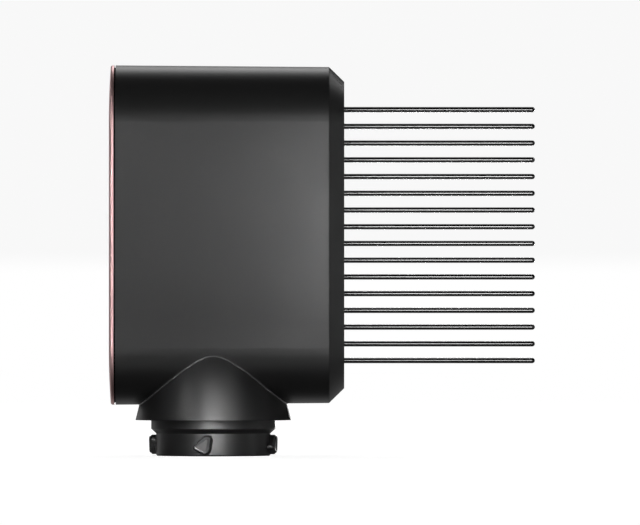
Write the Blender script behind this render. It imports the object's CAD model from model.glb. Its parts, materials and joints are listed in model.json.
# Looks of a hair styler's comb attachment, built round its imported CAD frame. All sizes are in metres.
# The parts of this file are: named values, the camera and stage, the lamps, the materials, the pieces
# that are made here, and the run itself at the end.
import json
import math

import bmesh
import bpy
from mathutils import Matrix, Vector


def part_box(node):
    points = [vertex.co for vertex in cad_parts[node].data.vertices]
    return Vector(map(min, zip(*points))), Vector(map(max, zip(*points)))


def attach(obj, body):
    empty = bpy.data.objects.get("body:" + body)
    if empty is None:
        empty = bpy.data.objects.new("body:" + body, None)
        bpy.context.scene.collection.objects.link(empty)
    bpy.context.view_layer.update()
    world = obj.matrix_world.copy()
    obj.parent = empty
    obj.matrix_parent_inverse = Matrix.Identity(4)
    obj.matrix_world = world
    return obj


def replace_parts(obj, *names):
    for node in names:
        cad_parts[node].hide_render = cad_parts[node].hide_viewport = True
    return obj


MM = 0.001
WHITE = (1, 1, 1, 1)

# Camera: level, straight on to the flank, far enough off to flatten the view
CAMERA_DISTANCE = 4.0
CAMERA_X = 0.0278
CAMERA_Z = 0.05035
SENSOR_WIDTH = 36.0
FRAME_WIDTH = 0.1668
CLIP_NEAR = 0.1
CLIP_FAR = 50

# Stage: floor, backdrop and soft daylight
FLOOR_RADIUS = 3.0
FLOOR_SIDES = 96
FLOOR_GREY = 0.4
FLOOR_GLOW = 0.8
BACKDROP_GREY = 0.94
HORIZON_SOFTNESS = 0.0009
AMBIENT = 0.5

# Stage as the object's gloss mirrors it: a dim sky and floor, with a brighter band of floor in front of
# the object and one behind it. A band's edges are where it starts, is full, still is full, and ends.
MIRRORED_SKY = 0.02
MIRRORED_SKY_RISE = 0.3
MIRRORED_FLOOR = 0.04
APRON_LEVEL = 0.35
APRON_EDGES = (-0.1, -0.06, -0.05, -0.035)
BEHIND_LEVEL = 0.3
BEHIND_EDGES = (-0.005, 0.01, 0.05, 0.15)

# Beams: narrow lamps at a distance from their target. Sizes are width and height, spreads are in degrees
# and powers in watts.
BODY_MIDDLE = (0.012, -0.012, 0.075)
KEY_DISTANCE = 0.9
KEY_SIZE = (0.2, 0.06)
KEY_SPREAD = 12
KEY_POWER = 0.01
SIDE_KEY_POWER = 0.006
BACK_KEY_POWER = 0.007
TEETH_MIDDLE = (0.071, 0, 0.057)
COMB_DISTANCE = 0.4
COMB_SIZE = (0.07, 0.056)
COMB_SPREAD = 17
COMB_POWER = 0.003
COMB_TOP_POWER = 0.0015
SADDLE_MIDDLE = (-0.002, -0.0165, 0.0215)
SADDLE_DISTANCE = 0.35
SADDLE_SIZE = (0.08, 0.01)
SADDLE_SPREAD = 5
SADDLE_LIFT = 10
SADDLE_POWER = 0.0001

# Beams on the connector and the skirt's rim: each has its target on the side that it comes from, and
# the higher it stands, the higher the target
POOL_DISTANCE = 0.27
POOL_SIZE = (0.03, 0.006)
POOL_SPREAD = 7
POOL_RADIUS = 0.015
POOL_BASE_Z = 0.002
POOL_RISE = 0.0002
SKIRT_POOL_POWER = 0.0004
BARREL_POOL_POWER = 0.0003
LEFT_POOL_POWER = 0.00015
RIGHT_POOL_POWER = 0.0001
LUG_POOL_POWER = 0.00006

# Beams on the trim plate's edge, each with the height of its target and its lift above that
PLATE_BEAMS = ((0.039, 3), (0.06, 3), (0.083, 5), (0.1, 24))
PLATE_X = -0.027
PLATE_DISTANCE = 0.7
PLATE_SIZE = (0.3, 0.03)
PLATE_SPREAD = 3
PLATE_TURN = -60
PLATE_POWER = 0.005

# Other lamps: name, place, target, side of the square, power and spread
PLACED_LAMPS = (
    ("chamfer", (0.6, -0.05, 0.06), (0.03, -0.012, 0.057), 0.1, 0.0012, 9),
    ("corner", (0.56, 0.58, 0.525), (0.033, -0.01, 0.095), 0.2, 0.007, 6),
    ("back_top", (0, 0.8, 0.8), (0, 0, 0.05), 0.5, 2, 180),
    ("back_left", (-0.6, 0.9, 0.25), (0, 0, 0.05), 0.5, 0.5, 180))

# Finishes: noise scales in bumps a metre, depths and edge radii in metres, swings either way
BLACK = (0.005, 0.005, 0.0052)
NOISE_LOW = 0.3
NOISE_HIGH = 0.7
SLOW_SCALE = 60.0
GRAIN_SCALE = 2500
GRAIN_DEPTH = 0.00002
GRAIN_STRENGTH = 0.5
EDGE_SOFTNESS = 0.0002
BEVEL_SAMPLES = 6
GLOSS_SWING = 0.02
TINT_SWING = 0.1
BLAST_SCALE = 6000.0
BLAST_DEPTH = 0.00002
BLAST_STRENGTH = 0.3
ENAMEL_BLACK = (0.003, 0.003, 0.003, 1)
ENAMEL_SCALE = 40.0
ENAMEL_GLOSS = (0.11, 0.13)

# Edges between smooth faces that meet at more than this angle stay sharp
SHARP_ANGLE = math.radians(30)

# Housing and skirt as the frame has them, for the fillet between the two
REAR_X = -25.4 * MM
CORNER_R = 14.8 * MM
CORNER_Y = 1.7 * MM
CORNER_Z = 28.1 * MM
DRAFT = math.radians(0.44)
SKIRT_R = 20.3 * MM
SKIRT_Z = 9.3 * MM
SKIRT_SLOPE = math.radians(14)
FILLET_FOOT = 0.3 * MM
FILLET_SINK = 0.01 * MM
FILLET_TURNS = 240
FILLET_STEPS = 6

# Bayonet lugs as the frame has them: round corners of a lug's face, with place along the barrel, height
# and radius. The rim that stands on that face has a section of insets in millimetres from the face's
# outline, and heights as shares of RIM_H.
LUG_CORNERS = (
    (1.1 * MM, 4.1 * MM, 1.0 * MM), (0.5 * MM, 2.0 * MM, 1.2 * MM), (-1.65 * MM, 2.3 * MM, 0.5 * MM))
LUG_R = 16.47 * MM
LUG_TURN = math.radians(9.7)
LUGS = 4
RIM_H = 0.2 * MM
RIM_SECTION = ((0.0, -0.2), (0.02, 0.7), (0.06, 1.0), (0.4, 1.0), (0.44, 0.9), (0.8, -0.2))
RIM_CORNER_R = 0.05 * MM
RIM_TURNS = 72

# Trim plate: its crown, its flat middle and the rounding of its edge
CROWN_R = 200 * MM
PLATE_EDGE_R = 0.5 * MM
PLATE_MIDDLE_R = 0.5 * MM
CROWN_STEPS = 12
EDGE_STEPS = 6
CORNER_STEPS = 24


class Tree:
    """A small helper that adds nodes to a material or world and links them."""

    def __init__(self, owner):
        owner.use_nodes = True
        self.tree = owner.node_tree
        self.tree.nodes.clear()

    def add(self, kind, inputs=None, **settings):
        node = self.tree.nodes.new(kind)
        for name, value in settings.items():
            setattr(node, name, value)
        for name, value in (inputs or {}).items():
            if isinstance(value, bpy.types.NodeSocket):
                self.tree.links.new(value, node.inputs[name])
            else:
                node.inputs[name].default_value = value
        return node

    def mix(self, factor, first, second):
        """Shader that goes from the first to the second as the factor rises."""
        return self.add("ShaderNodeMixShader", {0: factor, 1: first.outputs[0], 2: second.outputs[0]})

    def smooth_step(self, value, start, end, low, high):
        """A number that goes softly from low to high while a value goes from start to end."""
        return self.add("ShaderNodeMapRange", {
            "Value": value, "From Min": start, "From Max": end,
            "To Min": low, "To Max": high}, interpolation_type="SMOOTHSTEP").outputs["Result"]

    def band(self, value, edges, level):
        """A level that a value reaches between two soft slopes, and zero outside them."""
        rise = self.smooth_step(value, edges[0], edges[1], 0.0, level)
        fall = self.smooth_step(value, edges[2], edges[3], 1.0, 0.0)
        return self.add("ShaderNodeMath", {0: rise, 1: fall}, operation="MULTIPLY").outputs[0]

    def noise(self, scale, detail):
        """Noise in the object's own coordinates."""
        place = self.add("ShaderNodeTexCoord").outputs["Object"]
        node = self.add("ShaderNodeTexNoise", {"Vector": place, "Scale": scale, "Detail": detail})
        return node.outputs["Fac"]

    def noise_between(self, noise, low, high):
        """A number that follows a noise between two limits."""
        return self.add("ShaderNodeMapRange", {
            "Value": noise, "From Min": NOISE_LOW, "From Max": NOISE_HIGH,
            "To Min": low, "To Max": high}).outputs["Result"]


def link_object(name, data):
    """Puts new data into the scene as an object."""
    thing = bpy.data.objects.new(name, data)
    bpy.context.scene.collection.objects.link(thing)
    return thing


def make_camera():
    """The camera that sees the flank as the photograph does."""
    data = bpy.data.cameras.new("camera")
    data.sensor_width = SENSOR_WIDTH
    data.lens = SENSOR_WIDTH * CAMERA_DISTANCE / FRAME_WIDTH
    data.clip_start = CLIP_NEAR
    data.clip_end = CLIP_FAR
    camera = link_object("camera", data)
    camera.location = (CAMERA_X, -CAMERA_DISTANCE, CAMERA_Z)
    camera.rotation_euler = (math.radians(90), 0, 0)
    bpy.context.scene.camera = camera


def make_world():
    """Pale backdrop for the camera, a dim sky for reflections, and soft daylight for everything else."""
    world = bpy.data.worlds.new("studio")
    bpy.context.scene.world = world
    t = Tree(world)
    direction = t.add("ShaderNodeTexCoord").outputs["Generated"]
    height = t.add("ShaderNodeSeparateXYZ", {"Vector": direction}).outputs["Z"]
    seen = t.smooth_step(height, -HORIZON_SOFTNESS, HORIZON_SOFTNESS, 1.0, BACKDROP_GREY)
    mirrored = t.smooth_step(height, 0.0, MIRRORED_SKY_RISE, 0.0, MIRRORED_SKY)
    path = t.add("ShaderNodeLightPath").outputs
    ambient, backdrop, glossy = (
        t.add("ShaderNodeBackground", {"Color": WHITE, "Strength": strength})
        for strength in (AMBIENT, seen, mirrored))
    unseen = t.mix(path["Is Glossy Ray"], ambient, glossy)
    final = t.mix(path["Is Camera Ray"], unseen, backdrop)
    t.add("ShaderNodeOutputWorld", {"Surface": final.outputs[0]})


def floor_material():
    """Floor that glows white for the camera under the lamps' light, so that it keeps the shadow."""
    material = bpy.data.materials.new("floor_white")
    t = Tree(material)
    path = t.add("ShaderNodeLightPath").outputs
    geometry = t.add("ShaderNodeNewGeometry").outputs
    lit = t.add("ShaderNodeBsdfDiffuse", {"Color": (FLOOR_GREY, FLOOR_GREY, FLOOR_GREY, 1)})
    glow = t.add("ShaderNodeEmission", {"Color": WHITE, "Strength": FLOOR_GLOW})
    plain = t.add("ShaderNodeAddShader", {0: lit.outputs[0], 1: glow.outputs[0]})
    seen = t.mix(path["Is Camera Ray"], lit, plain)
    depth = t.add("ShaderNodeSeparateXYZ", {"Vector": geometry["Position"]}).outputs["Y"]
    front = t.band(depth, APRON_EDGES, APRON_LEVEL)
    back = t.band(depth, BEHIND_EDGES, BEHIND_LEVEL)
    bands = t.add("ShaderNodeMath", {0: front, 1: back}, operation="ADD").outputs[0]
    strength = t.add("ShaderNodeMath", {0: bands, 1: MIRRORED_FLOOR}, operation="ADD").outputs[0]
    mirrored = t.add("ShaderNodeEmission", {"Color": WHITE, "Strength": strength})
    above = t.mix(path["Is Glossy Ray"], seen, mirrored)
    final = t.mix(geometry["Backfacing"], above, t.add("ShaderNodeBsdfTransparent"))
    t.add("ShaderNodeOutputMaterial", {"Surface": final.outputs[0]})
    return material


def make_floor():
    """Round floor that the object stands on."""
    mesh = bpy.data.meshes.new("floor")
    bm = bmesh.new()
    bmesh.ops.create_circle(bm, cap_ends=True, segments=FLOOR_SIDES, radius=FLOOR_RADIUS)
    bm.to_mesh(mesh)
    bm.free()
    mesh.materials.append(floor_material())
    floor = link_object("floor", mesh)


def area_lamp(name, place, target, size, power, spread):
    """Rectangular lamp at a place, turned to a target."""
    data = bpy.data.lights.new(name, "AREA")
    data.shape = "RECTANGLE"
    data.size, data.size_y = size
    data.energy = power
    data.spread = math.radians(spread)
    lamp = link_object(name, data)
    lamp.location = place
    lamp.rotation_mode = "QUATERNION"
    lamp.rotation_quaternion = (Vector(target) - Vector(place)).to_track_quat("-Z", "Y")
    lamp.visible_camera = False


def level_direction(turn):
    """Level direction from the object at a turn from the front."""
    side = math.radians(turn)
    return Vector((math.sin(side), -math.cos(side), 0))


def beam(name, target, distance, lift, turn, size, power, spread):
    """Lamp at a distance from its target, with lift above it and turn from the front in degrees."""
    rise = math.radians(lift)
    out = level_direction(turn) * math.cos(rise) + Vector((0, 0, math.sin(rise)))
    area_lamp(name, Vector(target) + out * distance, target, size, power, spread)


def key_lamp(lift, turn, power):
    """Beam on the body's flank."""
    beam(f"key_{lift}_{turn}", BODY_MIDDLE, KEY_DISTANCE, lift, turn, KEY_SIZE, power, KEY_SPREAD)


def comb_lamp(lift, turn, power):
    """Beam on the teeth."""
    beam(f"comb_{lift}_{turn}", TEETH_MIDDLE, COMB_DISTANCE, lift, turn, COMB_SIZE, power, COMB_SPREAD)


def pool_lamp(lift, turn, power):
    """Narrow beam on the connector and the skirt's rim."""
    target = level_direction(turn) * POOL_RADIUS
    target.z = POOL_BASE_Z + POOL_RISE * lift
    beam(f"pool_{lift}_{turn}", target, POOL_DISTANCE, lift, turn, POOL_SIZE, power, POOL_SPREAD)


def make_lamps():
    """The lamps of the studio, in small banks and single ones, each for one part of the object."""
    key_lamp(-3, -10, KEY_POWER)
    for turn in (-30, 30):
        key_lamp(3, turn, SIDE_KEY_POWER)
    for turn in (170, 176):
        key_lamp(-3, turn, BACK_KEY_POWER)
    for lift in (-8, 0):
        for turn in (0, 180):
            comb_lamp(lift, turn, COMB_POWER)
    comb_lamp(8, 0, COMB_TOP_POWER)
    for height, lift in PLATE_BEAMS:
        target = (PLATE_X, 0, height)
        beam(f"plate_{height}", target, PLATE_DISTANCE, lift, PLATE_TURN, PLATE_SIZE, PLATE_POWER,
             PLATE_SPREAD)
    for name, place, target, side, power, spread in PLACED_LAMPS:
        area_lamp(name, place, target, (side, side), power, spread)
    for turn in (-8, 0, 8):
        pool_lamp(18, turn, SKIRT_POOL_POWER)
        pool_lamp(7, turn, BARREL_POOL_POWER)
    pool_lamp(28, -42, LEFT_POOL_POWER)
    pool_lamp(28, 28, RIGHT_POOL_POWER)
    pool_lamp(1, -20, LUG_POOL_POWER)
    for turn in (-28, -14, 0, 16):
        beam(f"saddle_{turn}", SADDLE_MIDDLE, SADDLE_DISTANCE, SADDLE_LIFT, turn, SADDLE_SIZE, SADDLE_POWER,
             SADDLE_SPREAD)


def plastic(name, colour, roughness, specular, grain_depth=GRAIN_DEPTH, edge=EDGE_SOFTNESS):
    """Moulded plastic: fine grain, slow change of gloss and softened edges."""
    material = bpy.data.materials.new(name)
    t = Tree(material)
    slow = t.noise(SLOW_SCALE, 3.0)
    fine = t.noise(GRAIN_SCALE, 4.0)
    gloss = t.noise_between(slow, roughness - GLOSS_SWING, roughness + GLOSS_SWING)
    tint = t.noise_between(fine, 1 - TINT_SWING, 1 + TINT_SWING)
    shade = t.add("ShaderNodeVectorMath", {0: colour, "Scale": tint}, operation="SCALE")
    soft_edge = t.add("ShaderNodeBevel", {"Radius": edge}, samples=BEVEL_SAMPLES)
    bump = t.add("ShaderNodeBump", {
        "Strength": GRAIN_STRENGTH, "Distance": grain_depth, "Height": fine,
        "Normal": soft_edge.outputs["Normal"]})
    shader = t.add("ShaderNodeBsdfPrincipled", {
        "Base Color": shade.outputs[0], "Roughness": gloss, "Normal": bump.outputs["Normal"]})
    shader.inputs["Specular IOR Level"].default_value = specular
    t.add("ShaderNodeOutputMaterial", {"Surface": shader.outputs[0]})
    return material


def metal(name, colour, roughness):
    """Blasted and dyed aluminium."""
    material = bpy.data.materials.new(name)
    t = Tree(material)
    bump = t.add("ShaderNodeBump", {
        "Strength": BLAST_STRENGTH, "Distance": BLAST_DEPTH, "Height": t.noise(BLAST_SCALE, 3.0)})
    shader = t.add("ShaderNodeBsdfPrincipled", {"Base Color": (*colour, 1), "Normal": bump.outputs["Normal"]})
    shader.inputs["Metallic"].default_value = 1.0
    shader.inputs["Roughness"].default_value = roughness
    t.add("ShaderNodeOutputMaterial", {"Surface": shader.outputs[0]})
    return material


def gloss_black(name):
    """Glossy black enamel of the teeth."""
    material = bpy.data.materials.new(name)
    t = Tree(material)
    gloss = t.noise_between(t.noise(ENAMEL_SCALE, 2.0), *ENAMEL_GLOSS)
    shader = t.add("ShaderNodeBsdfPrincipled", {"Roughness": gloss})
    shader.inputs["Base Color"].default_value = ENAMEL_BLACK
    shader.inputs["Specular IOR Level"].default_value = 1.0
    t.add("ShaderNodeOutputMaterial", {"Surface": shader.outputs[0]})
    return material


def make_materials():
    """One material for each slot of the record, and black_edge for the fillet and the lugs' rims."""
    return {
        "black_shell": plastic("black_shell", BLACK, 0.40, 0.75),
        "black_edge": plastic("black_edge", (0.035, 0.035, 0.036), 0.27, 0.75, 0.00001, 0.00003),
        "black_bezel": plastic("black_bezel", BLACK, 0.48, 0.75),
        "black_cap": plastic("black_cap", (0.006, 0.003, 0.003), 0.8, 0.1),
        "rose_metal": metal("rose_metal", (0.80, 0.52, 0.52), 0.45),
        "black_connector": plastic("black_connector", BLACK, 0.40, 0.75),
        "black_rail": plastic("black_rail", (0.01, 0.01, 0.01), 0.5, 0.5),
        "grey_guide": plastic("grey_guide", (0.03, 0.03, 0.031), 0.55, 0.5),
        "seal_rubber": plastic("seal_rubber", (0.01, 0.01, 0.01), 0.7, 0.3),
        "gloss_black_steel": gloss_black("gloss_black_steel"),
    }


def dress_nodes(frame, materials):
    """Gives every CAD node the material of its slot."""
    for part in frame["record"]["subparts"]:
        node = frame["nodes"][part["node"]]
        node.data.materials.clear()
        node.data.materials.append(materials[part["material_slot"]])


def saddle_point(turn):
    """Where the skirt's cone meets the housing's rounded underside, at a turn about the axis."""
    cos_turn = math.cos(turn)
    sin_turn = abs(math.sin(turn))
    lean = math.tan(DRAFT)
    rise = 1 / math.tan(SKIRT_SLOPE)
    full_r = CORNER_R + REAR_X * lean
    height = SKIRT_Z + SKIRT_R * rise - CORNER_Z
    a = sin_turn ** 2 + rise ** 2 - (lean * cos_turn) ** 2
    b = 2 * (full_r * lean * cos_turn - sin_turn * CORNER_Y - height * rise)
    c = CORNER_Y ** 2 + height ** 2 - full_r ** 2
    r = (-b + math.sqrt(b * b - 4 * a * c)) / (2 * a)
    if r * sin_turn < CORNER_Y:
        r = (height + full_r) / (rise + lean * cos_turn)
    return Vector((r * cos_turn, r * math.sin(turn), SKIRT_Z + (SKIRT_R - r) * rise))


def saddle_normals(turn, point):
    """Outward normals of the cone and of the housing at a point of the saddle line."""
    cone = Vector((math.cos(turn) * math.cos(SKIRT_SLOPE),
                   math.sin(turn) * math.cos(SKIRT_SLOPE), math.sin(SKIRT_SLOPE)))
    out_y = max(abs(point.y) - CORNER_Y, 0.0)
    shell = Vector((0, math.copysign(out_y, point.y), point.z - CORNER_Z)).normalized()
    shell.x = math.tan(DRAFT)
    return cone, shell.normalized()


def fillet_section(turn):
    """Round concave section of the fillet at a turn, closed by one point inside the wall."""
    point = saddle_point(turn)
    cone, shell = saddle_normals(turn, point)
    half_angle = cone.angle(shell) / 2
    radius = FILLET_FOOT / math.tan(half_angle)
    middle = (cone + shell).normalized()
    centre = point + middle * (radius / math.cos(half_angle))
    section = []
    for step in range(FILLET_STEPS + 1):
        inward = cone.slerp(shell, step / FILLET_STEPS)
        sink = FILLET_SINK if step in (0, FILLET_STEPS) else 0.0
        section.append(centre - inward * (radius + sink))
    section.append(point - middle * (2 * FILLET_FOOT))
    return section


def join_rows(bm, rows, section_closed=True):
    """Joins rows of points, which go round in a ring, by faces. Two flat ends close an open section."""
    for i, row in enumerate(rows):
        after = rows[(i + 1) % len(rows)]
        for k in range(len(row) if section_closed else len(row) - 1):
            n = (k + 1) % len(row)
            bm.faces.new((row[k], after[k], after[n], row[n]))
    if not section_closed:
        bm.faces.new([row[0] for row in rows])
        bm.faces.new([row[-1] for row in rows])
    bmesh.ops.recalc_face_normals(bm, faces=bm.faces)
    for face in bm.faces:
        face.smooth = True
    for edge in bm.edges:
        edge.smooth = edge.calc_face_angle() < SHARP_ANGLE


def add_piece(name, bm, material):
    """Makes an object of the mesh, which moves with the body that the whole part is."""
    mesh = bpy.data.meshes.new(name)
    bm.to_mesh(mesh)
    bm.free()
    mesh.materials.append(material)
    piece = link_object(name, mesh)
    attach(piece, "root")
    return piece


def plate_section(front_x, back_x):
    """Section of the trim plate from its middle over the crown and the round edge to the back."""
    def crown_x(reach):
        return front_x + CROWN_R - math.sqrt(CROWN_R ** 2 - reach ** 2)

    edge_start = CORNER_R - PLATE_EDGE_R
    edge_x = crown_x(edge_start) + PLATE_EDGE_R
    section = []
    for step in range(CROWN_STEPS):
        reach = PLATE_MIDDLE_R + (edge_start - PLATE_MIDDLE_R) * step / CROWN_STEPS
        section.append((crown_x(reach), reach))
    for step in range(EDGE_STEPS + 1):
        angle = math.pi / 2 * step / EDGE_STEPS
        section.append((edge_x - PLATE_EDGE_R * math.cos(angle), edge_start + PLATE_EDGE_R * math.sin(angle)))
    section.append((back_x, CORNER_R))
    return section


def make_trim_plate(material):
    """Crowned rose plate with the outline of the CAD plate, which it stands for."""
    low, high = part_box("trim_plate")
    section = plate_section(low[0], high[0])
    out_y, low_z, high_z = high[1] - CORNER_R, low[2] + CORNER_R, high[2] - CORNER_R
    centres = ((out_y, high_z), (-out_y, high_z), (-out_y, low_z), (out_y, low_z))
    bm = bmesh.new()
    rows = []
    for corner, (centre_y, centre_z) in enumerate(centres):
        for step in range(CORNER_STEPS + 1):
            angle = math.pi / 2 * (corner + step / CORNER_STEPS)
            rows.append([
                bm.verts.new((x, centre_y + reach * math.cos(angle), centre_z + reach * math.sin(angle)))
                for x, reach in section])
    join_rows(bm, rows, section_closed=False)
    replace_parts(add_piece("rose_plate", bm, material), "trim_plate")


def make_saddle_fillet(material):
    """Small fillet along the line where the skirt grows out of the housing."""
    bm = bmesh.new()
    rows = [[bm.verts.new(place) for place in fillet_section(2 * math.pi * i / FILLET_TURNS)]
            for i in range(FILLET_TURNS)]
    join_rows(bm, rows)
    add_piece("skirt_fillet", bm, material)


def corner_point(angle, inset):
    """Point of a lug's face outline, drawn in by an inset, that lies furthest out at an angle."""
    out = Vector((math.cos(angle), math.sin(angle)))
    middle, radius = max(
        ((Vector(corner[:2]), max(corner[2] - inset, RIM_CORNER_R)) for corner in LUG_CORNERS),
        key=lambda corner: corner[0].dot(out) + corner[1])
    return middle + out * radius


def make_lug_rim(index, material):
    """Raised rim round the face of one bayonet lug."""
    turn = Matrix.Rotation(2 * math.pi * index / LUGS - math.pi / 2 - LUG_TURN, 3, "Z")
    bm = bmesh.new()
    rows = []
    for i in range(RIM_TURNS):
        row = []
        for inset, height in RIM_SECTION:
            place = corner_point(2 * math.pi * i / RIM_TURNS, inset * MM)
            row.append(bm.verts.new(turn @ Vector((LUG_R + height * RIM_H, place.x, place.y))))
        rows.append(row)
    join_rows(bm, rows)
    add_piece(f"lug_rim_{index + 1}", bm, material)


with open("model.json") as file:
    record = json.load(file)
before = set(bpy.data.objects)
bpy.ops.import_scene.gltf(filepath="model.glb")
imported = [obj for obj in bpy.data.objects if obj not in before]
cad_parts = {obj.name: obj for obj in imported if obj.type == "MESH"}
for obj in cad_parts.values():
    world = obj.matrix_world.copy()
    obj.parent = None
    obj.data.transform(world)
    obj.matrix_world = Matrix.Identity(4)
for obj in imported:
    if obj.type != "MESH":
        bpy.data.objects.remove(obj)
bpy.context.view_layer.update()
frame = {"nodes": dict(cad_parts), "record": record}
bpy.context.scene.view_settings.view_transform = "Standard"
make_camera()
make_world()
make_floor()
make_lamps()
materials = make_materials()
dress_nodes(frame, materials)
make_trim_plate(materials["rose_metal"])
make_saddle_fillet(materials["black_edge"])
for index in range(LUGS):
    make_lug_rim(index, materials["black_edge"])
